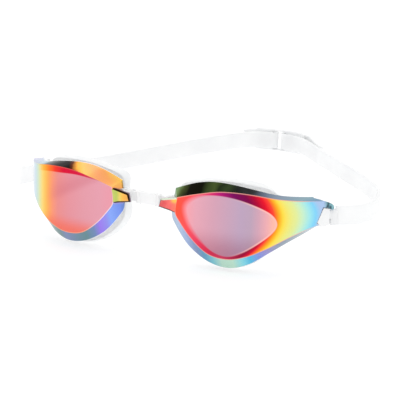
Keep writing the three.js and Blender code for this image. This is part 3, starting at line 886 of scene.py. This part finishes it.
def build_lenses():
    shared = [inner_lens(), clear_rim()]
    faces = {RIGHT: right_face(), LEFT: left_face()}
    lens_materials = {
        side: [face, bevel_coating_and_reflections(side), lug_coating_and_reflections(side), facet_reflections(side), *shared]
        for side, face in faces.items()
    }
    slots = lens_materials[RIGHT]
    behind_hook = [(72, 12), (84, 12), (84, 28.6), (72, 29.0)]
    body = boolean(lens_shell(slots), "UNION", lens_lug(slots))
    body = boolean(
        body,
        "DIFFERENCE",
        tail_notch(slots),
        wrapped_prism("behind", behind_hook, LENS_WALL + 0.1, 9, slots),
        bridge_window(slots),
    )
    weld(body.data, WELD_GAP)
    store_measures(body.data)
    pieces = {RIGHT: body, LEFT: twin(body, "mirror_lens_left")}
    body.name = "mirror_lens_right"
    for side, piece in pieces.items():
        settle(piece, SIGN[side])
        for i, material in enumerate(lens_materials[side]):
            piece.data.materials[i] = material
        shade(piece, 12)
        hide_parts(f"lens_{side}")
        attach(piece, f"{side}_eyepiece")


# ---- seal -----------------------------------------------------------------------------------------


def gasket_rings():
    flange = closed_curve([s[FLANGE] for s in GASKET], 12, 0.5)
    lip = closed_curve([s[LIP] for s in GASKET], 12, 0.5)
    return [
        laid(inset(flange, 4.6), GASKET_FRONT),
        laid(inset(flange, 0.9), GASKET_FRONT),
        laid(flange, GASKET_FRONT - 0.3),
        laid(lip, 12.5),
        laid(inset(lip, 0.9), 14),
        laid(inset(lip, 3.4), 13.6),
        laid(inset(lip, 4.2), 11.5),
        laid(inset(flange, 4.9), 8.8),
    ]


def build_gaskets(material):
    coarse = gasket_rings()
    columns = [closed_curve([ring[i] for ring in coarse], 4, 0.5) for i in range(len(coarse[0]))]
    rings = [list(ring) for ring in zip(*columns)]
    right = ring_skin("seal_right", rings, materials=[material])
    for side, piece in {RIGHT: right, LEFT: twin(right, "seal_left")}.items():
        settle(piece, SIGN[side])
        shade(piece, 60)
        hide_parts(f"gasket_{side}")
        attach(piece, f"{side}_eyepiece")


# ---- strap ----------------------------------------------------------------------------------------


def strap_run(side):
    turns = [math.radians(270 - 180 * k / 8) for k in range(9)]
    loop = [
        (LOOP_X + LOOP_RADIUS * math.cos(t), BACK_Y - 0.2 + LOOP_RADIUS * math.sin(t))
        for t in turns
    ]
    return [*BOW[side], *BACK_RUN, *loop, *FREE_END[side]]


def build_strap(side, material):
    """A flat band with rounded edges, standing on edge along its run in plan."""
    steps = 10
    middle = open_curve(strap_run(side), steps, 0.5)
    reached = [0.0]
    for a, b in zip(middle, middle[1:]):
        reached.append(reached[-1] + (b - a).length)
    free_span = reached[(len(BOW[side]) + len(BACK_RUN) - 1) * steps]
    section = rounded_box(STRAP_THICK, STRAP_WIDTH, 0.55, 4, 4)
    rings = []
    for i, point in enumerate(middle):
        along = (middle[min(i + 1, len(middle) - 1)] - middle[max(i - 1, 0)]).normalized()
        share = min(1.0, reached[i] / free_span)
        sunk = DROOP[side] * abs(math.sin(math.pi * share**0.56)) ** 1.6
        centre_z = STRAP_LOW - sunk + STRAP_WIDTH / 2
        rings.append([
            Vector((point.x - along.y * p.x, point.y + along.x * p.x, centre_z + p.y))
            for p in section
        ])
    caps = [sum(ring, Vector()) / len(ring) for ring in (rings[0], rings[-1])]
    strap = ring_skin(f"band_{side}", rings, caps, materials=[material])
    settle(strap, SIGN[side])
    shade(strap, 50)
    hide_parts(f"strap_{side}")
    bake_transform(strap)


# ---- hard fittings ----------------------------------------------------------------------------------


def build_strap_clips(material):
    """A barrel on the post, a neck and a head that holds the strap's end."""
    side = Vector((-CLIP_DIRECTION.y, CLIP_DIRECTION.x))

    def at(along, over):
        return TAIL + CLIP_DIRECTION * along + side * over

    neck = [at(0, -1.9), at(CLIP_NECK + 0.5, -1.7), at(CLIP_NECK + 0.5, 1.7), at(0, 1.9)]
    head = [at(CLIP_NECK, -1.8), at(CLIP_REACH, -1.6), at(CLIP_REACH, 1.6), at(CLIP_NECK, 1.8)]
    barrel = rounded_prism("fitting_right", circle(TAIL, BARREL_RADIUS), BARREL_LOW, BARREL_HIGH, 0.3)
    body = boolean(
        barrel,
        "UNION",
        rounded_prism("neck", neck, BARREL_LOW + 0.1, BARREL_HIGH - 0.1, 0.3),
        rounded_prism("head", head, STRAP_LOW + 0.2, BARREL_HIGH - 0.1, 0.6),
    )
    bore = rounded_prism("bore", circle(TAIL, POST_RADIUS + 0.35), 10, 40, 0.01)
    right = boolean(body, "DIFFERENCE", bore)
    right.data.materials.clear()
    right.data.materials.append(material)
    for name, piece in {RIGHT: right, LEFT: twin(right, "fitting_left")}.items():
        settle(piece, SIGN[name])
        shade(piece)
        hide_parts(f"strap_clip_{name}")
        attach(piece, f"{name}_clip")


def build_back_clip(material):
    """A curved plate with rounded edges and one slot in the middle."""
    half = PLATE_THICK / 2

    def bent(outline, out):
        points = []
        for p in outline:
            turn, reach = p.x / BACK_CURVE, BACK_CURVE + out
            y = BACK_Y - BACK_CURVE + reach * math.cos(turn)
            points.append(Vector((reach * math.sin(turn), y, STRAP_LOW + STRAP_WIDTH / 2 + p.y)))
        return points

    def outer(inwards):
        return rounded_box(PLATE_LENGTH - 2 * inwards, PLATE_HEIGHT - 2 * inwards, 2.5 - inwards)

    def slot(outwards):
        return rounded_box(2 * (SLOT_HALF + outwards), SLOT_HEIGHT + 2 * outwards, 0.8 + outwards)

    edge = [(0.5, half), (0.15, half - 0.15), (0, half - 0.5), (0, 0.5 - half), (0.15, 0.15 - half),
            (0.5, -half)]
    rings = [bent(outer(inwards), out) for inwards, out in edge]
    rings += [bent(mixed(outer(0.5), slot(0.3), k / 6), -half) for k in range(1, 6)]
    rings += [bent(slot(grow), out) for grow, out in
              ((0.3, -half), (0, 0.3 - half), (0, half - 0.3), (0.3, half))]
    rings += [bent(mixed(slot(0.3), outer(0.5), k / 6), half) for k in range(1, 6)]
    plate = ring_skin("back_plate", rings, materials=[material])
    settle(plate)
    shade(plate, 40)
    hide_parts("back_clip")
    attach(plate, "back_clip")


def build_nose_bridge(material):
    """A flat bar with two collars at each end and a T-bar in each frame's clip."""
    half = BRIDGE_HEIGHT / 2

    def bar(name, from_x, to_x, thick, tall):
        outline = [(from_x, BRIDGE.y - thick / 2), (to_x, BRIDGE.y - thick / 2),
                   (to_x, BRIDGE.y + thick / 2), (from_x, BRIDGE.y + thick / 2)]
        return rounded_prism(name, outline, BRIDGE.z - tall / 2, BRIDGE.z + tall / 2, 0.35)

    core = bar("saddle", -BRIDGE.x, BRIDGE.x, BRIDGE_BAR - 1.2, BRIDGE_HEIGHT - 0.6)
    collars = [
        bar("collar", at - 0.5, at + 0.5, BRIDGE_BAR + 0.5, BRIDGE_HEIGHT + 0.5)
        for at in (-5.2, -3.7, 3.7, 5.2)
    ]
    low, high = BRIDGE.z - half, BRIDGE.z + half
    tbars = [
        rounded_prism("tbar", circle((at, BRIDGE.y), TBAR_RADIUS), low, high, 0.3)
        for at in (-BRIDGE.x, BRIDGE.x)
    ]
    thick = bar("thick", -6, 6, BRIDGE_BAR, BRIDGE_HEIGHT)
    bridge = boolean(core, "UNION", thick, *collars, *tbars)
    bridge.data.materials.clear()
    bridge.data.materials.append(material)
    settle(bridge)
    shade(bridge)
    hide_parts("nose_bridge")
    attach(bridge, "bridge")


def dress_cad_nodes(material):
    """The frames and strap posts keep their CAD meshes."""
    for side in SIGN:
        for name in ("frame", "strap_post"):
            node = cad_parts[f"{name}_{side}"]
            node.data.materials.clear()
            node.data.materials.append(material)
            node.data.shade_smooth()
            node.data.set_sharp_from_angle(angle=math.radians(28))


# ---- floor, light and camera ------------------------------------------------------------------------


FLOOR_GLOW = 0.58
FLOOR_HALF = 4.0
KEY_PLACE, KEY_WIDTH, KEY_WATTS = (-0.45, 0.25, 1.2), 1.4, 2.5
SKY_LIGHT = 0.95


def build_floor():
    """A plain floor with a mild glow of its own, which keeps the shadows on it faint."""
    half = FLOOR_HALF
    corners = [(-half, -half, 0), (half, -half, 0), (half, half, 0), (-half, half, 0)]
    material, tree, shader = new_material(
        "lit_paper", Roughness=0.9, Specular_IOR_Level=0.1, Emission_Color=(1, 1, 1, 1),
        Emission_Strength=FLOOR_GLOW,
    )
    fibre = colours_along(tree, noise(tree, 30, 3), [(0.3, (186, 186, 187)), (0.7, (190, 190, 190))])
    tree.links.new(fibre, shader.inputs["Base Color"])
    floor = new_object("floor", corners, [(0, 1, 2, 3)], materials=[material])


def add_area_light(name, place_at, aim, size, watts):
    lamp = bpy.data.lights.new(name, "AREA")
    lamp.shape = "DISK"
    lamp.size = size
    lamp.energy = watts
    light = bpy.data.objects.new(name, lamp)
    light.location = place_at
    light.rotation_euler = (Vector(aim) - Vector(place_at)).to_track_quat("-Z", "Y").to_euler()
    bpy.context.scene.collection.objects.link(light)


def light_studio():
    world = bpy.data.worlds.new("studio")
    world.use_nodes = True
    world.node_tree.nodes["Background"].inputs["Color"].default_value = (1, 1, 1, 1)
    world.node_tree.nodes["Background"].inputs["Strength"].default_value = SKY_LIGHT
    bpy.context.scene.world = world
    add_area_light("key", KEY_PLACE, (0, 0, 0), KEY_WIDTH, KEY_WATTS)
    bpy.context.scene.view_settings.view_transform = "Standard"


TARGET = Vector((0, 20, 21.6))     # what the camera's direction is measured from, in the layout
AZIMUTH, ELEVATION, ROLL = 25.99, 15.48, -1.5
DISTANCE = 550.3
AIM_RIGHT, AIM_UP = 16.16, 0.78    # how far the picture's centre lies from the target
FOCAL = 110.53


def set_camera():
    turn, lift, roll = (math.radians(v) for v in (AZIMUTH, ELEVATION, ROLL))
    back = Vector((math.sin(turn) * math.cos(lift), -math.cos(turn) * math.cos(lift), math.sin(lift)))
    right = Vector((math.cos(turn), math.sin(turn), 0))
    up = back.cross(right)
    location = TARGET + back * DISTANCE
    view = (TARGET + right * AIM_RIGHT + up * AIM_UP - location).normalized()
    level = (right - view * right.dot(view)).normalized()
    upright = level.cross(view)
    x_axis = level * math.cos(roll) - upright * math.sin(roll)
    y_axis = level * math.sin(roll) + upright * math.cos(roll)
    data = bpy.data.cameras.new("camera")
    data.lens = FOCAL
    data.sensor_width = 36
    camera = bpy.data.objects.new("camera", data)
    axes = Matrix((x_axis, y_axis, -view)).transposed().to_4x4()
    camera.matrix_world = Matrix.Translation(place(location)) @ axes
    bpy.context.scene.collection.objects.link(camera)
    bpy.context.scene.camera = camera


# ---- assembly ---------------------------------------------------------------------------------------

seal = silicone("milky_seal", (250, 251, 251), (240, 242, 243), 0.35)
band = silicone("milky_band", (250, 251, 251), (243, 244, 245), 0.2)
white = hard_plastic("white_plastic", (250, 250, 250), (240, 241, 242), 0.32)
satin = hard_plastic("satin_clip", (250, 251, 251), (243, 244, 245), 0.4)
soft = silicone("bridge_rubber", (251, 251, 251), (245, 246, 246), 0.25)

build_lenses()
build_gaskets(seal)
for strap_side in SIGN:
    build_strap(strap_side, band)
build_strap_clips(white)
build_back_clip(satin)
build_nose_bridge(soft)
dress_cad_nodes(white)
build_floor()
light_studio()
set_camera()
